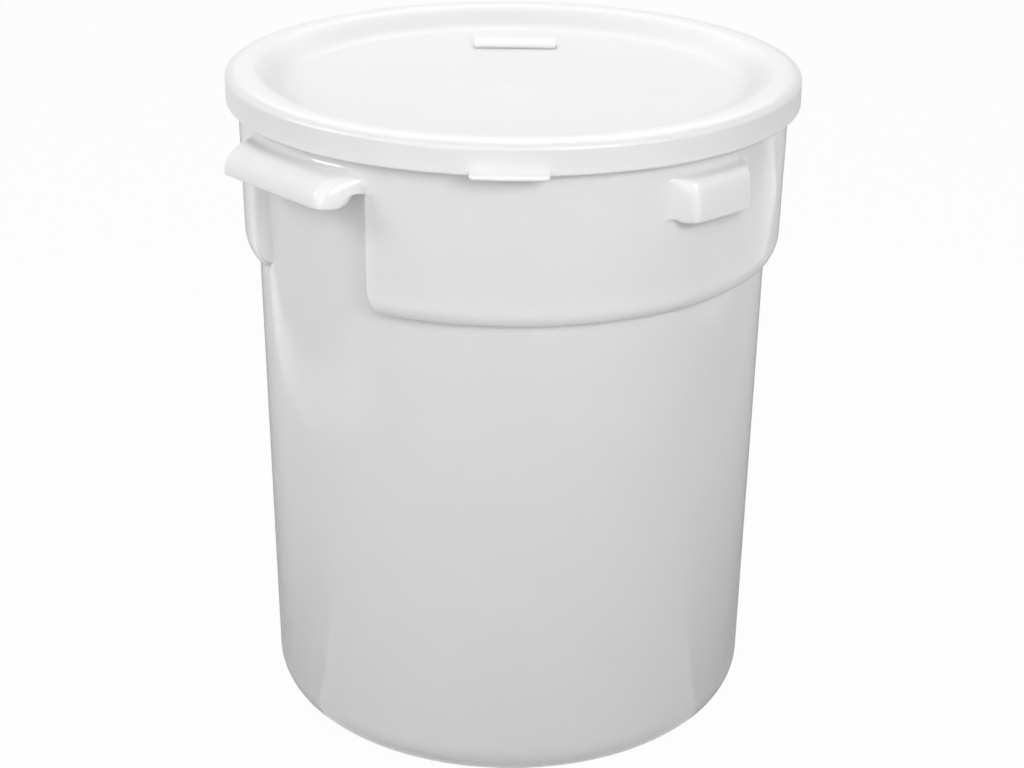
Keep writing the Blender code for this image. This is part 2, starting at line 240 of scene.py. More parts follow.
# %% Sizes of the tub
BASE_HOLLOW = 8 * MM
FOOT_WIDTH = 9 * MM
FOOT_SLOPE = 4 * MM
BASE_ROUND = 30 * MM
BODY_BASE_RADIUS = 188 * MM
BODY_TOP_RADIUS = 193.6 * MM
BODY_TOP = 373 * MM
WALL = 3.5 * MM
FLOOR = 4 * MM
GUTTER_SHARE = 0.6
SHOULDER_HEIGHT = 16 * MM
SHOULDER_STEP = 10.4 * MM
SHOULDER_CORNER = 4 * MM
INNER_RISE = 2 * MM
COLLAR_HEIGHT = 117.7 * MM
COLLAR_DRAFT = 2.3 * MM
RIM_BEAD_OUT = 3.8 * MM
RIM_BEAD_HEIGHT = 9 * MM
RIM_ROUND = 2 * MM
LEDGE_SLOPE = 4 * MM

COLLAR_BOTTOM = BODY_TOP + SHOULDER_HEIGHT
RIM_TOP = COLLAR_BOTTOM + COLLAR_HEIGHT
COLLAR_BASE_RADIUS = BODY_TOP_RADIUS + SHOULDER_STEP
COLLAR_TOP_RADIUS = COLLAR_BASE_RADIUS + COLLAR_DRAFT
BEAD_RADIUS = COLLAR_TOP_RADIUS + RIM_BEAD_OUT
FOOT_OUTER_RADIUS = BODY_BASE_RADIUS - BASE_ROUND
FOOT_INNER_RADIUS = FOOT_OUTER_RADIUS - FOOT_WIDTH

FINE = 0.5 * MM
MEDIUM = 1.0 * MM
BROAD = 1.8 * MM


def smooth(share):
    """Rises from 0 to 1 with level ends."""
    share = min(max(share, 0.0), 1.0)
    return share * share * (3 - 2 * share)


def body_radius(height):
    """Outside of the tapered body, carried on upwards behind the recesses."""
    taper = (BODY_TOP_RADIUS - BODY_BASE_RADIUS) / (BODY_TOP - BASE_ROUND)
    return BODY_BASE_RADIUS + taper * (height - BASE_ROUND)


def collar_radius(height):
    """Outside of the collar."""
    return COLLAR_BASE_RADIUS + COLLAR_DRAFT / COLLAR_HEIGHT * (height - COLLAR_BOTTOM)


print("rim top at", round(RIM_TOP / MM, 1), "mm; packed tub reaches", round(tub_high.z / MM, 1), "mm")

# %% [markdown]
# A grip and a lug are the same kind of thing: a hood that stands off the collar, open downwards. Its
# lip is straight seen from above, and its cheeks swing back to the collar with a hollow foot and a
# rounded corner. The grip's section is a quarter round and the lug's is nearly square. Writing both as
# one recipe with different sizes keeps them alike, as they are on the real tub. Lengths along the
# collar are kept as turns, because the outlines are placed by their turn round the axis.

# %% Grips and lugs
Hood = namedtuple("Hood", "half pocket cheek sharpness delay reach top lip rise drop end root draft "
                          "thickness roundness recessed")


def angle_of(length, height):
    """The turn that an arc of this length takes on the collar."""
    return length / collar_radius(height)


def make_hood(width, side, below_rim, height, out, recessed, cheek, sharpness, delay, rise, drop, end,
              root, roundness, draft=7 * MM, thickness=WALL):
    """A hood's sizes. Its hollow stops a side's width before its end. A cheek is the length that swings
    back to the collar, shaped by sharpness and delay, and rise is how far the lip lifts there. Drop and
    end are how far down and how far along the top rounds off, root is the fillet where the top meets
    the collar, and roundness is how square the section is."""
    top = RIM_TOP - below_rim
    lip = top - height
    turns = [angle_of(length, lip) for length in (width / 2, width / 2 - side, cheek, end, draft)]
    return Hood(half=turns[0], pocket=turns[1], cheek=turns[2], sharpness=sharpness, delay=delay, reach=out,
                top=top, lip=lip, rise=rise, drop=drop, end=turns[3], root=root, draft=turns[4],
                thickness=thickness, roundness=roundness, recessed=recessed)


GRIP = make_hood(width=145 * MM, side=5 * MM, below_rim=29.7 * MM, height=22 * MM, out=22 * MM,
                 recessed=True, cheek=29 * MM, sharpness=2.0, delay=1.0, rise=8.4 * MM, drop=12.5 * MM,
                 end=21 * MM, root=5.9 * MM, roundness=2.2)
LUG = make_hood(width=91 * MM, side=20 * MM, below_rim=31.7 * MM, height=31 * MM, out=13.9 * MM,
                recessed=False, cheek=24 * MM, sharpness=2.1, delay=1.7, rise=2 * MM, drop=7 * MM,
                end=17 * MM, root=5 * MM, roundness=4.0)
print("grip reaches", round(GRIP.reach / MM), "mm off the collar, lug", round(LUG.reach / MM), "mm")

# %% [markdown]
# A hood's shape changes along its length, and four curves describe it: how far the lip stands out, how
# high the lip is, how high the top meets the collar, and how far the wall behind is drawn in. Each is
# a plain function of the turn from the hood's middle, so that any outline can be asked for.

# %% Curves of a hood
RISE_START = 0.4
RISE_END = 0.78
LEAST_SECTION = 4 * MM


def cheek_curve(hood, share):
    """Rises from 0 to 1 with a hollow foot, a steep middle and a rounded corner. A delay above 1 makes the
    foot wider and the corner tighter."""
    share = min(max(share, 0.0), 1.0)
    rise = share ** hood.sharpness
    return rise / (rise + (hood.delay * (1 - share)) ** hood.sharpness)


def reach(hood, offset, inset=0.0):
    """How far the lip stands off the collar at a turn from the hood's middle."""
    half = hood.half - angle_of(inset, hood.lip)
    collar = collar_radius(hood.lip)
    straight = (collar + hood.reach - inset) / math.cos(offset) - collar
    return straight * cheek_curve(hood, (half - abs(offset)) / hood.cheek)


def lip_height(hood, offset):
    """Height of the lower edge, which rises while the cheek swings back."""
    gone = 1 - cheek_curve(hood, (hood.half - abs(offset)) / hood.cheek)
    return hood.lip + hood.rise * smooth((gone - RISE_START) / (RISE_END - RISE_START))


def top_height(hood, offset):
    """Height where the top meets the collar, which rounds down at the ends but stays above the lip."""
    along = min(max(1 - (hood.half - abs(offset)) / hood.end, 0.0), 1.0)
    rounded = hood.top - hood.drop * (1 - math.sqrt(1 - along * along))
    return max(rounded, lip_height(hood, offset) + LEAST_SECTION)


def wall_radius(hood, offset, height, half):
    """Radius of the collar, or of the recess in it, whose sides slope in from half its turn."""
    if not hood.recessed:
        return collar_radius(height)
    share = smooth((half - abs(offset)) / hood.draft)
    return collar_radius(height) + (body_radius(height) - collar_radius(height)) * share


print("the grip's lip rises from", round(lip_height(GRIP, 0.0) / MM, 1), "to",
      round(lip_height(GRIP, GRIP.half) / MM, 1), "mm at its ends")

# %% [markdown]
# Each outline of the tub starts at the middle of the base, runs up the outside, goes into the hollow
# where there is one, comes back over the hood, and goes over the rim and down the inside. The shoulder
# is worked out for the full collar first and then drawn in towards the body beside a recess.

# %% Outline of the body
ARC_STEPS = 8
BASE_STEPS = 10


def tub_bottom():
    """Corners from the middle of the base up to the body wall."""
    foot = (FOOT_OUTER_RADIUS, 0.0)
    heel = arc("heel", (BODY_BASE_RADIUS, BASE_ROUND), foot, BASE_STEPS)
    return [corner("base", 0.0, BASE_HOLLOW),
            corner("hollow", FOOT_INNER_RADIUS - FOOT_SLOPE, BASE_HOLLOW, MEDIUM),
            corner("foot_in", FOOT_INNER_RADIUS, 0.0, FINE), corner("foot_out", *foot), *reversed(heel),
            corner("body_base", BODY_BASE_RADIUS, BASE_ROUND)]


def corner_lift(hood, offset):
    """How far the shoulder rises at the rounded corner beside a recess."""
    if not hood.recessed:
        return 0.0
    beyond = (abs(offset) - hood.pocket) * COLLAR_BASE_RADIUS
    near = min(max(SHOULDER_CORNER - beyond, 0.0), SHOULDER_CORNER)
    return SHOULDER_CORNER - math.sqrt(SHOULDER_CORNER ** 2 - near ** 2)


def shoulder(wall, lift):
    """Corners of the shoulder, drawn in where the wall above is drawn in."""
    level = (BODY_TOP_RADIUS, BODY_TOP)
    full = [corner("body_top", *level, FINE),
            *reversed(arc("shoulder", (COLLAR_BASE_RADIUS, COLLAR_BOTTOM), level, ARC_STEPS))]
    drawn = []
    for here in full:
        height = here.height + lift
        body = body_radius(height)
        out = here.radius - body_radius(here.height)
        share = (wall(height) - body) / (collar_radius(height) - body)
        drawn.append(corner(here.name, body + out * share, height, here.softness))
    return drawn + [corner("collar_bottom", wall(COLLAR_BOTTOM + lift), COLLAR_BOTTOM + lift)]


print("from base to collar there are", len(tub_bottom() + shoulder(collar_radius, 0.0)), "corners")

# %% [markdown]
# Under a hood the outline goes up the wall, across the hollow's ceiling and down the inside of the
# lip. From there it runs over the hood and up a fillet at its root, because a mould has no sharp inner
# corner. Distances are given off the collar and turned into radii last, so that the arcs follow the
# collar's slope.

# %% Outline of a hood
ROOT_STEPS = 5
ROOT_SHARE = 0.33
LEAST_ROOT = 2 * MM
LIP_SOFTNESS = 0.65 * MM
BELOW_LIP = 1.5 * MM
WELL_BELOW_LIP = 4 * MM
SLIVER = 0.01 * MM


def off_collar(corners):
    """Turns corners given by their distance off the collar into corners given by their radius."""
    return [here._replace(radius=collar_radius(here.height) + here.radius) for here in corners]


def hollow(hood, offset, wall, lip):
    """Corners up the wall under a hood, across its ceiling and down the inside of its lip."""
    ceiling = top_height(hood, offset) - hood.thickness
    inner = max(reach(hood, offset, hood.thickness), 0.0)
    under = arc("under", (inner, lip), (0.0, ceiling), ARC_STEPS, hood.roundness)
    corners = [corner("pocket_top", wall(ceiling), ceiling, FINE)]
    if hood.recessed:
        corners.append(corner("ceiling", collar_radius(ceiling), ceiling))
    return corners + off_collar([*reversed(under), corner("lip_in", inner, lip, FINE)])


def hood_outside(hood, offset, lip):
    """Corners from the lip over the hood and up the fillet at its root."""
    top_at = top_height(hood, offset)
    stands = max(reach(hood, offset), SLIVER)
    root = min(hood.root, stands * ROOT_SHARE)
    share = math.acos((root / stands) ** (hood.roundness / 2)) / QUARTER
    low = (root, lip + (top_at - lip) * math.sin(QUARTER * share) ** (2 / hood.roundness))
    high = (0.0, top_at + max(root, LEAST_ROOT))
    over = arc("over", (stands, lip), (0.0, top_at), ARC_STEPS, hood.roundness, share)
    return off_collar([corner("lip", stands, lip, LIP_SOFTNESS), *over, corner("root_low", *low),
                       *reversed(arc("root", high, low, ROOT_STEPS)), corner("root_high", *high)])


def tub_outside(hood, offset):
    """Corners of one outline, from the base to the top of the hood."""
    lip = lip_height(hood, offset)

    def wall(height):
        return wall_radius(hood, offset, height, hood.pocket)

    corners = tub_bottom() + shoulder(wall, corner_lift(hood, offset))
    for name, below in (("below_pocket", WELL_BELOW_LIP), ("pocket_bottom", BELOW_LIP)):
        corners.append(corner(name, wall(lip - below), lip - below))
    if abs(offset) < hood.pocket:
        corners += hollow(hood, offset, wall, lip)
    return corners + hood_outside(hood, offset, lip)


print("outside, an outline has", len(tub_outside(GRIP, 0.0)), "corners at a grip and",
      len(tub_outside(GRIP, QUARTER)), "at the plain collar")

# %% [markdown]
# The rim ends in a bead that the lid closes over. Inside, the wall follows the outside at an even
# thickness, because a moulding cools evenly that way. The floor rises inside the foot ring, which
# leaves a gutter above the ring.

# %% Rim and inside
def rim():
    """Corners over the rim bead, which the lid closes over."""
    bead_bottom = RIM_TOP - RIM_BEAD_HEIGHT
    return [corner("under_bead", collar_radius(bead_bottom), bead_bottom, FINE),
            corner("bead_bottom", BEAD_RADIUS, bead_bottom + RIM_ROUND, FINE),
            corner("rim_out", BEAD_RADIUS, RIM_TOP, FINE),
            corner("rim_in", COLLAR_TOP_RADIUS - WALL, RIM_TOP, FINE)]


def tub_inside(hood, offset):
    """Corners down the inside to the middle of the floor."""
    def wall(height):
        return wall_radius(hood, offset, height, hood.half) - WALL

    ledge_low = hood.top - hood.thickness + INNER_RISE
    ledge_high = ledge_low + LEDGE_SLOPE
    shoulder_high = COLLAR_BOTTOM + INNER_RISE
    shoulder_low = BODY_TOP + INNER_RISE
    wall_foot = (BODY_BASE_RADIUS - WALL, BASE_ROUND)
    gutter_out = (FOOT_OUTER_RADIUS, FLOOR)
    gutter_in = FOOT_INNER_RADIUS + FLOOR * GUTTER_SHARE
    floor = BASE_HOLLOW + FLOOR
    return [corner("ledge_high", collar_radius(ledge_high) - WALL, ledge_high, MEDIUM),
            corner("ledge_low", wall(ledge_low), ledge_low, MEDIUM),
            corner("inner_shoulder_high", wall(shoulder_high), shoulder_high, BROAD),
            corner("inner_shoulder_low", body_radius(shoulder_low) - WALL, shoulder_low, BROAD),
            corner("wall_foot", *wall_foot), *arc("floor_round", wall_foot, gutter_out, BASE_STEPS),
            corner("gutter_out", *gutter_out), corner("gutter_in", gutter_in, FLOOR, MEDIUM),
            corner("floor_edge", gutter_in - FOOT_SLOPE, floor, MEDIUM), corner("floor", 0.0, floor)]


def tub_outline(hood, offset):
    """The rows of one whole outline."""
    return soften(tub_outside(hood, offset) + rim() + tub_inside(hood, offset))


print("one outline has", len(tub_outline(GRIP, 0.0)), "rows")

# %% [markdown]
# Outlines are close together where the shape changes fast, at the cheeks and at the sides of the
# recesses, and further apart where the tub is plain. A hood's own outlines run from its middle to
# just past its cheek, and plain ones fill the quarter turn to the next hood.

# %% The tub
CHEEK_STEP = math.radians(0.2)
FLAT_STEP = math.radians(1.3)


def spread(start, end, step):
    """Values from start up to but not including end, at most a step apart."""
    count = max(1, math.ceil((end - start) / step))
    return [start + (end - start) * place / count for place in range(count)]


def hood_offsets(hood):
    """Turns from a hood's middle to its outlines."""
    flat = max(hood.half - hood.cheek, 0.0)
    past = hood.half + CHEEK_STEP
    return (spread(0.0, flat, FLAT_STEP) + spread(flat, hood.pocket, CHEEK_STEP)
            + spread(hood.pocket, past, CHEEK_STEP) + [past])


def tub_columns():
    """All outlines of the tub, as (angle, rows)."""
    hoods = (GRIP, LUG, GRIP, LUG)
    columns = []
    for place, hood in enumerate(hoods):
        middle = place * QUARTER
        ahead = hoods[(place + 1) % len(hoods)]
        offsets = hood_offsets(hood)
        for offset in [-value for value in reversed(offsets[1:])] + offsets:
            columns.append((middle + offset, tub_outline(hood, offset)))
        start = middle + offsets[-1]
        end = middle + QUARTER - hood_offsets(ahead)[-1]
        for angle in spread(start, end, FLAT_STEP)[1:]:
            nearer = hood if angle < (start + end) / 2 else ahead
            columns.append((angle, tub_outline(nearer, QUARTER)))
    return columns


tub = make_skin("tub_skin", tub_columns())
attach(tub, "tub")
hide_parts("tub")

# %% [markdown]
# The lid is a turned shape with one tab. From its middle it is a flat panel, a slope up to the crest
# ring, the crest, and a skirt that closes over the rim bead. A low ridge inside the skirt catches under
# the bead, and a thin ring reaches into the tub and seals it. At the very middle of the panel is the
# faint disc where the plastic entered the mould. The sizes start from the rim, so that the lid fits.

# %% Sizes of the lid
LID_THICKNESS = 3 * MM
LID_SEAT_GAP = 0.3 * MM
RIDGE_CLEARANCE = 0.7 * MM
RIDGE_REACH = 0.8 * MM
RIDGE_HEIGHT = 3.5 * MM
RIDGE_LEAD = 2 * MM
SKIRT_DEPTH = 20 * MM
SKIRT_EDGE = 1.2 * MM
SKIRT_ROUND_WIDTH = 10.5 * MM
SKIRT_ROUND_HEIGHT = 5 * MM
CREST_WIDTH = 14 * MM
DISH_SLOPE_WIDTH = 19 * MM
DISH_DEPTH = 15 * MM
SEAL_CLEARANCE = 0.8 * MM
SEAL_THICKNESS = 2.5 * MM
SEAL_DEPTH = 10 * MM
TAB_WIDTH = 53 * MM
TAB_REACH = 8.8 * MM
TAB_THICKNESS = 2.6 * MM
TAB_CORNER = 5 * MM
TAB_SIDE_DRAFT = 0.4 * MM
TAB_SOFTNESS = 0.25 * MM
GATE_RADIUS = 11 * MM
GATE_HEIGHT = 0.3 * MM
DISH_SOFTNESS = 2.2 * MM
GATE_SOFTNESS = 0.15 * MM
LID_TURN = math.radians(-132.5)

RIDGE_RADIUS = BEAD_RADIUS + RIDGE_CLEARANCE
SKIRT_INNER_RADIUS = RIDGE_RADIUS + RIDGE_REACH
LID_RADIUS = SKIRT_INNER_RADIUS + LID_THICKNESS
SKIRT_BOTTOM = RIM_TOP - SKIRT_DEPTH
CREST = RIM_TOP + LID_SEAT_GAP + LID_THICKNESS
PANEL = CREST - DISH_DEPTH
print("lid radius", round(LID_RADIUS / MM, 1), "mm, crest at", round(CREST / MM, 1), "mm")

# %% [markdown]
# One list of corners gives the lid's outline at any turn. The tab is the skirt's lower edge pushed
# out, so the list takes the tab's reach and is the plain skirt where the reach is 0. Both have the
# same rows, which lets the skin join them without a seam.

# %% Outline of the lid
def lid_corners(tab_reach):
    """Corners of the lid, from the middle of its top, over the crest, round the skirt and back below."""
    under_crest = CREST - LID_THICKNESS
    crest_out = LID_RADIUS - SKIRT_ROUND_WIDTH
    crest_in = crest_out - CREST_WIDTH
    dish_edge = crest_in - DISH_SLOPE_WIDTH
    skirt_top = CREST - SKIRT_ROUND_HEIGHT
    tab_top = SKIRT_BOTTOM + TAB_THICKNESS
    ridge_top = SKIRT_BOTTOM + RIDGE_HEIGHT
    seal_out = COLLAR_TOP_RADIUS - WALL - SEAL_CLEARANCE
    seal_in = seal_out - SEAL_THICKNESS
    share = tab_reach / TAB_REACH
    edge = SKIRT_EDGE * (1 - share)
    tab_lip = SKIRT_BOTTOM + SKIRT_EDGE + (TAB_THICKNESS - SKIRT_EDGE) * share
    over = arc("over", (LID_RADIUS, skirt_top), (crest_out, CREST), ARC_STEPS)
    return [corner("top", 0.0, PANEL + GATE_HEIGHT),
            corner("gate", GATE_RADIUS - GATE_HEIGHT, PANEL + GATE_HEIGHT, GATE_SOFTNESS),
            corner("gate_foot", GATE_RADIUS, PANEL, GATE_SOFTNESS),
            corner("dish_edge", dish_edge, PANEL, DISH_SOFTNESS),
            corner("crest_in", crest_in, CREST, DISH_SOFTNESS), corner("crest_out", crest_out, CREST),
            *reversed(over), corner("skirt_top", LID_RADIUS, skirt_top, FINE),
            corner("tab_root", LID_RADIUS, tab_top + TAB_SIDE_DRAFT, FINE),
            corner("tab_top", LID_RADIUS + tab_reach, tab_lip, TAB_SOFTNESS),
            corner("tab_bottom", LID_RADIUS + tab_reach - edge, SKIRT_BOTTOM, TAB_SOFTNESS),
            corner("ridge_bottom", RIDGE_RADIUS, SKIRT_BOTTOM, FINE),
            corner("ridge_top", RIDGE_RADIUS, ridge_top, FINE),
            corner("skirt_in", SKIRT_INNER_RADIUS, ridge_top + RIDGE_LEAD, FINE),
            corner("channel", SKIRT_INNER_RADIUS, under_crest, FINE),
            corner("seal_root_out", seal_out, under_crest, FINE),
            corner("seal_out", seal_out, under_crest - SEAL_DEPTH, FINE),
            corner("seal_in", seal_in, under_crest - SEAL_DEPTH, FINE),
            corner("seal_root_in", seal_in, under_crest, FINE),
            corner("under_crest_in", crest_in, under_crest, DISH_SOFTNESS),
            corner("under_dish_edge", dish_edge, PANEL - LID_THICKNESS, DISH_SOFTNESS),
            corner("below", 0.0, PANEL - LID_THICKNESS)]


print("the lid's outline has", len(lid_corners(0.0)), "corners and", len(soften(lid_corners(0.0))), "rows")

# %% [markdown]
# The tab's outlines lie close together at its rounded corners, and the rest of the lid takes one
# outline every degree or so. The tab doesn't point at a grip or a lug: the lid was pressed on with a
# turn of its own, which is added to every outline's angle.

# %% The lid
LID_STEP = math.radians(1.2)
TAB_STEPS = 8


def quarter_turns(steps):
    """The angles of a quarter turn in this many steps, with both ends."""
    return [QUARTER * step / steps for step in range(steps + 1)]


def tab_offsets():
    """The tab's outlines on one side, as (turn from its middle, reach)."""
    half = TAB_WIDTH / 2 / LID_RADIUS
    corner_turn = TAB_CORNER / LID_RADIUS
    offsets = [(turn, TAB_REACH) for turn in spread(0.0, half - corner_turn, LID_STEP)]
    for turn in quarter_turns(TAB_STEPS)[:-1]:
        out = TAB_REACH - TAB_CORNER * (1 - math.cos(turn))
        offsets.append((half - corner_turn * (1 - math.sin(turn)), out))
    draft = TAB_SIDE_DRAFT / LID_RADIUS
    return offsets + [(half, TAB_REACH - TAB_CORNER), (half + draft, 0.0)]


def lid_columns():
    """All outlines of the lid, as (angle, rows)."""
    side = tab_offsets()
    offsets = [(-turn, out) for turn, out in reversed(side[1:])] + side
    last = side[-1][0]
    offsets += [(turn, 0.0) for turn in spread(last, 2 * math.pi - last, LID_STEP)[1:]]
    return [(LID_TURN + turn, soften(lid_corners(out))) for turn, out in offsets]


lid = make_skin("lid_skin", lid_columns())
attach(lid, "lid")
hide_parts("lid")

# %% [markdown]
# Across the panel from the tab is a short raised bar. It is a block with rounded edges that runs into
# the panel with a small fillet. Rings of a rounded rectangle, stacked from the foot to the top, give
# both: the lowest rings flare out, and the highest draw in.

# %% The raised bar
BAR_WIDTH = 64 * MM
BAR_DEPTH = 10 * MM
BAR_HEIGHT = 7 * MM
BAR_DISTANCE = 105 * MM
BAR_ROUND = 1.2 * MM
BAR_FLARE = 1.5 * MM
BAR_SINK = 0.5 * MM
BAR_CORNER = 1.6 * MM
BAR_STEPS = 5


def rounded_ring(half_x, half_y, round_corner):
    """Points of a rectangle with round corners, one quarter turn after another."""
    points = []
    for quarter in range(4):
        along, across = (half_y, half_x) if quarter % 2 else (half_x, half_y)
        for turn in quarter_turns(BAR_STEPS):
            local = Vector((along - round_corner * (1 - math.cos(turn)),
                            across - round_corner * (1 - math.sin(turn))))
            local.rotate(Matrix.Rotation(quarter * QUARTER, 2))
            points.append(local)
    return points


def bar_rings():
    """(growth, height) of the bar's rings, from below the panel to the top."""
    rings = [(BAR_FLARE, -BAR_SINK)]
    for turn in quarter_turns(BAR_STEPS):
        rings.append((BAR_FLARE * (1 - math.sin(turn)), BAR_FLARE * (1 - math.cos(turn))))
    for turn in quarter_turns(BAR_STEPS):
        rings.append((-BAR_ROUND * (1 - math.cos(turn)), BAR_HEIGHT - BAR_ROUND * (1 - math.sin(turn))))
    return rings


def make_bar():
    """The bar, standing on the panel opposite the tab."""
    mesh = bmesh.new()
    rings = []
    for growth, height in bar_rings():
        outline = rounded_ring(BAR_DEPTH / 2 + growth, BAR_WIDTH / 2 + growth,
                               max(BAR_CORNER + growth, FINE))
        rings.append([mesh.verts.new((point.x, point.y, height)) for point in outline])
    for low, high in zip(rings, rings[1:]):
        for place, vertex in enumerate(low):
            after = (place + 1) % len(low)
            mesh.faces.new((vertex, low[after], high[after], high[place]))
    mesh.faces.new(rings[-1])
    mesh.faces.new(reversed(rings[0]))
    made = make_piece("lid_bar", mesh)
    middle = Vector((-(BAR_DISTANCE + BAR_DEPTH / 2), 0.0, PANEL))
    made.data.transform(Matrix.Rotation(LID_TURN, 4, "Z") @ Matrix.Translation(middle))
    return made


bar = make_bar()
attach(bar, "lid")

# %% [markdown]
# Shader maths reads best as plain expressions, such as 1 - rub. A small class wraps a socket, and its
# operators add the Math nodes. Every other node comes from one method that takes the node's type, its
# settings and the values or links of its sockets.

# %% A socket that does sums
class Socket:
    """A node's output that adds Math nodes when it is used in a sum."""

    def __init__(self, paint, output):
        self.paint = paint
        self.output = output

    def _math(self, operation, first, second):
        return self.paint.node("ShaderNodeMath", {"operation": operation}, {0: first, 1: second})

    def __add__(self, other):
        return self._math("ADD", self, other)

    def __radd__(self, other):
        return self._math("ADD", other, self)

    def __sub__(self, other):
        return self._math("SUBTRACT", self, other)

    def __rsub__(self, other):
        return self._math("SUBTRACT", other, self)

    def __mul__(self, other):
        return self._math("MULTIPLY", self, other)

    def __rmul__(self, other):
        return self._math("MULTIPLY", other, self)

    def highest(self, other):
        """The larger of this and another value."""
        return self._math("MAXIMUM", self, other)


class Paint:
    """A material's or the world's nodes."""

    def __init__(self, owner):
        owner.use_nodes = True
        self.tree = owner.node_tree
        self.tree.nodes.clear()

    def node(self, kind, settings=None, sockets=None, output=0):
        """Adds a node and gives one of its outputs, wrapped."""
        made = self.tree.nodes.new(kind)
        for name, value in (settings or {}).items():
            setattr(made, name, value)
        for name, value in (sockets or {}).items():
            if isinstance(value, Socket):
                self.tree.links.new(value.output, made.inputs[name])
            else:
                made.inputs[name].default_value = value
        return Socket(self, made.outputs[output]) if len(made.outputs) else None


print("sockets add Math nodes for + - and *")

# %% [markdown]
# White polyethylene is glossy but soft: light enters it and comes out a little further on, which
# takes the hardness out of small shadows. Its skin is never quite flat, so reflections waver. The
# waver is a slow noise in the normal, the mould's fine spark finish is a fast one, and the gloss
# changes a little from place to place where hands and cloths have rubbed it. The lid's plastic is a
# little whiter and more matt than the tub's.

# %% The plastic
WAVER_SCALE = 7.0
WAVER_HEIGHT = 0.5 * MM
GRAIN_SCALE = 900.0
GRAIN_HEIGHT = 0.003 * MM
RUB_SCALE = 16.0
LIGHT_DEPTH = 7 * MM
POLYETHYLENE_IOR = 1.5


def plastic(name, white, shade, gloss, rubbed):
    """White polyethylene between two whites, with its roughness between gloss and rubbed."""
    material = bpy.data.materials.new(name)
    paint = Paint(material)
    place = paint.node("ShaderNodeTexCoord", output="Object")
    slow, fast, rub = [
        paint.node("ShaderNodeTexNoise", {}, {"Vector": place, "Scale": scale, "Detail": detail})
        for scale, detail in ((WAVER_SCALE, 1.0), (GRAIN_SCALE, 2.0), (RUB_SCALE, 5.0))]
    colour = paint.node("ShaderNodeMix", {"data_type": "RGBA"}, {"Factor": rub, 6: white, 7: shade},
                        output=2)
    roughness = gloss * (1 - rub) + rubbed * rub
    waver = paint.node("ShaderNodeBump", {}, {"Height": slow, "Distance": WAVER_HEIGHT})
    grain = paint.node("ShaderNodeBump", {}, {"Height": fast, "Distance": GRAIN_HEIGHT, "Normal": waver})
    shader = paint.node("ShaderNodeBsdfPrincipled", {"subsurface_method": "RANDOM_WALK"}, {
        "Base Color": colour, "Roughness": roughness, "Normal": grain, "IOR": POLYETHYLENE_IOR,
        "Subsurface Weight": 1.0, "Subsurface Radius": (1.0, 1.0, 1.0), "Subsurface Scale": LIGHT_DEPTH})
    paint.node("ShaderNodeOutputMaterial", {}, {"Surface": shader})
    return material


tub_white = plastic("tub_white", white=(0.84, 0.84, 0.84, 1), shade=(0.81, 0.81, 0.811, 1),
                    gloss=0.07, rubbed=0.14)
lid_white = plastic("lid_white", white=(0.87, 0.87, 0.87, 1), shade=(0.85, 0.85, 0.851, 1),
                    gloss=0.29, rubbed=0.36)
tub.data.materials.append(tub_white)
for piece in (lid, bar):
    piece.data.materials.append(lid_white)
print("materials", tub_white.name, lid_white.name)

# %% [markdown]
# The photograph is a studio picture on pure white. A world that is simply white would light the bin
# flatly from all sides and blow it out. Here the world is white only where the camera, a reflection or
# glass sees it, and as light on the object it is a dim even glow.

# %% Background
AROUND = 0.4
WHITE = (1.0, 1.0, 1.0, 1)


def seen(paint):
    """1 for rays from the camera, in gloss or through glass, and 0 for light on the object."""
    direct, gloss, through = [paint.node("ShaderNodeLightPath", output=f"Is {kind} Ray")
                              for kind in ("Camera", "Glossy", "Transmission")]
    return direct.highest(gloss).highest(through)


def make_world():
    """White where it is seen, and a soft grey as light."""
    world = bpy.data.worlds.new("studio")
    bpy.context.scene.world = world
    paint = Paint(world)
    light = paint.node("ShaderNodeBackground", {}, {"Color": WHITE, "Strength": AROUND})
    shown = paint.node("ShaderNodeBackground", {}, {"Color": WHITE, "Strength": 1.0})
    mixed = paint.node("ShaderNodeMixShader", {}, {0: seen(paint), 1: light, 2: shown})
    paint.node("ShaderNodeOutputWorld", {}, {"Surface": mixed})


make_world()
bpy.context.scene.view_settings.view_transform = "Standard"
print("the world lights the bin with a glow of", AROUND)

# %% [markdown]
# The floor is a large pale sheet. It glows white where it is seen, for the same reason as the world,
# and still takes a small share of real light, so that the bin's shadow stays on it.

# %% Floor
FLOOR_SIZE = 24.0
FLOOR_WHITE_SHARE = 0.975
FLOOR_COLOUR = (0.45, 0.45, 0.45, 1)


def lay_sheet(name, outline, height):
    """Lays a flat sheet of the studio with these (x, y) corners at a height. Gives it and its paint."""
    data = bpy.data.meshes.new(name)
    data.from_pydata([(x, y, height) for x, y in outline], [], [tuple(range(len(outline)))])
    sheet = bpy.data.objects.new(name, data)
    bpy.context.collection.objects.link(sheet)
    material = bpy.data.materials.new(name)
    data.materials.append(material)
    return sheet, Paint(material)


def make_floor():
    """A pale floor that is white to the camera, apart from the shadow."""
    half = FLOOR_SIZE / 2
    floor, paint = lay_sheet("floor", [(-half, -half), (half, -half), (half, half), (-half, half)], 0.0)
    matt = paint.node("ShaderNodeBsdfDiffuse", {}, {"Color": FLOOR_COLOUR})
    white = paint.node("ShaderNodeEmission", {}, {"Color": WHITE, "Strength": 1.0})
    mixed = paint.node("ShaderNodeMixShader", {}, {0: seen(paint) * FLOOR_WHITE_SHARE, 1: matt, 2: white})
    paint.node("ShaderNodeOutputMaterial", {}, {"Surface": mixed})
    print(floor.name, FLOOR_SIZE, "m across")


make_floor()
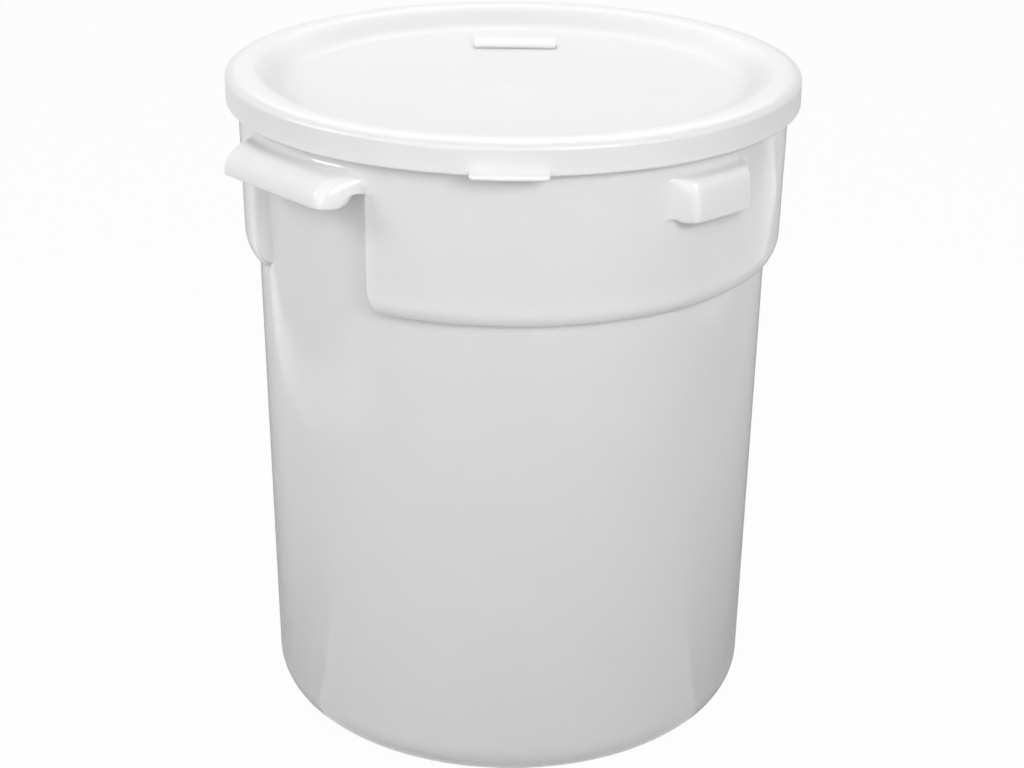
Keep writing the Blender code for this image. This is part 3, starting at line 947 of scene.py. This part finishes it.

# %% [markdown]
# A white bin on white would lose its edges, so painted reflections lie on the floor where only its
# skin can see them. A wall that is looked down on mirrors the floor round it. The silhouette mirrors
# the floor behind the bin, so dark wedges there paint a dark reflection that draws the thin dark line
# down each side. They lie in a stack, each narrower and darker than the one below it, so that the line
# fades inwards. The soft pale stripes further in are painted reflections of two glowing strips, which
# are no lamps. All of them show in reflections alone, and their places are given as seen from the camera.

# %% Painted reflections
PAINTED_REFLECTION_LIFT = 0.2 * MM
WEDGE_NEAR = -0.1
WEDGE_FAR = 1.9
WEDGE_NARROW = (0.24, 0.6)
WEDGE_WIDE = (0.5, 1.25)
# Levels of the painted dark reflection, from its darkest sheet to its palest.
WEDGE_DARK = 0.4
WEDGE_PALE = 0.95
WEDGE_STEPS = 7
# Outlines of the glowing strips that paint pale reflected stripes on the wall.
LEFT_STRIP = ((-0.86, -0.4), (-0.68, -0.4), (-0.68, 1.0), (-0.86, 1.0))
RIGHT_STRIP = ((0.87, -0.1), (1.3, -0.1), (1.3, 1.1), (0.87, 1.1))


def make_painted_reflection(name, outline, level, sheets=1):
    """A glowing sheet that only reflections see, which paints a reflection on the skin, with its outline
    as (right, away) as seen from the camera. It lies this many sheets above the floor."""
    points = [(facing @ Vector((right, away, 0.0))).xy for right, away in outline]
    card, paint = lay_sheet(name, points, PAINTED_REFLECTION_LIFT * sheets)
    # Painted reflection: this glow is seen only in the skin's reflections, in place of the white world.
    glow = paint.node("ShaderNodeEmission", {}, {"Color": (level, level, level, 1), "Strength": 1.0})
    paint.node("ShaderNodeOutputMaterial", {}, {"Surface": glow})
    for ray in ("camera", "diffuse", "transmission", "volume_scatter", "shadow"):
        setattr(card, f"visible_{ray}", False)
    return card.name


def make_wedge(step):
    """One sheet of the painted dark reflection, counted from the widest and palest."""
    # Painted dark reflection: the stack darkens the reflected floor towards the silhouette.
    share = step / (WEDGE_STEPS - 1)
    near, far = [wide + (narrow - wide) * share for wide, narrow in zip(WEDGE_WIDE, WEDGE_NARROW)]
    outline = ((-near, WEDGE_NEAR), (near, WEDGE_NEAR), (far, WEDGE_FAR), (-far, WEDGE_FAR))
    return make_painted_reflection(f"wedge_{step}", outline, WEDGE_PALE + (WEDGE_DARK - WEDGE_PALE) * share, step + 1)


painted_reflections = [make_wedge(step) for step in range(WEDGE_STEPS)]
# Painted reflections: two glowing strips, which are no lamps, paint pale stripes on the wall.
painted_reflections.append(make_painted_reflection("left_strip", LEFT_STRIP, level=1.5))
painted_reflections.append(make_painted_reflection("right_strip", RIGHT_STRIP, level=1.6))
print("painted_reflections", painted_reflections)

# %% [markdown]
# Soft boxes light the bin. Their places are given by a turn from the camera, a distance and a height,
# so that they stand where the photographer's did. Two small ones, left and right, shape the round
# wall and put highlights on the grip. A low one left of the camera fills the front, and a broad one
# above and behind lights the lid, so that the light fades down the body.

# %% Lamps
def lamp(name, turn, distance, height, size, power, aim_height):
    """A square soft box aimed at the bin's axis, at a turn from the camera."""
    data = bpy.data.lights.new(name, "AREA")
    data.shape = "SQUARE"
    data.size = size
    data.energy = power
    light = bpy.data.objects.new(name, data)
    bpy.context.collection.objects.link(light)
    direction = Matrix.Rotation(CAMERA_TURN + math.radians(turn), 3, "Z") @ Vector((0, -1, 0))
    light.location = direction * distance + Vector((0, 0, height))
    target = Vector((0, 0, aim_height))
    light.rotation_euler = (target - light.location).to_track_quat("-Z", "Y").to_euler()


lamp("left", turn=-77, distance=1.2, height=1.0, size=0.34, power=4.1, aim_height=0.35)
lamp("right", turn=27, distance=1.15, height=0.97, size=0.42, power=6.6, aim_height=0.35)
lamp("low_left", turn=-25, distance=1.1, height=0.62, size=0.7, power=2.7, aim_height=0.4)
lamp("back", turn=180, distance=0.65, height=1.35, size=1.1, power=6.9, aim_height=0.5)
print("lamps", [light.name for light in bpy.data.objects if light.type == "LIGHT"])
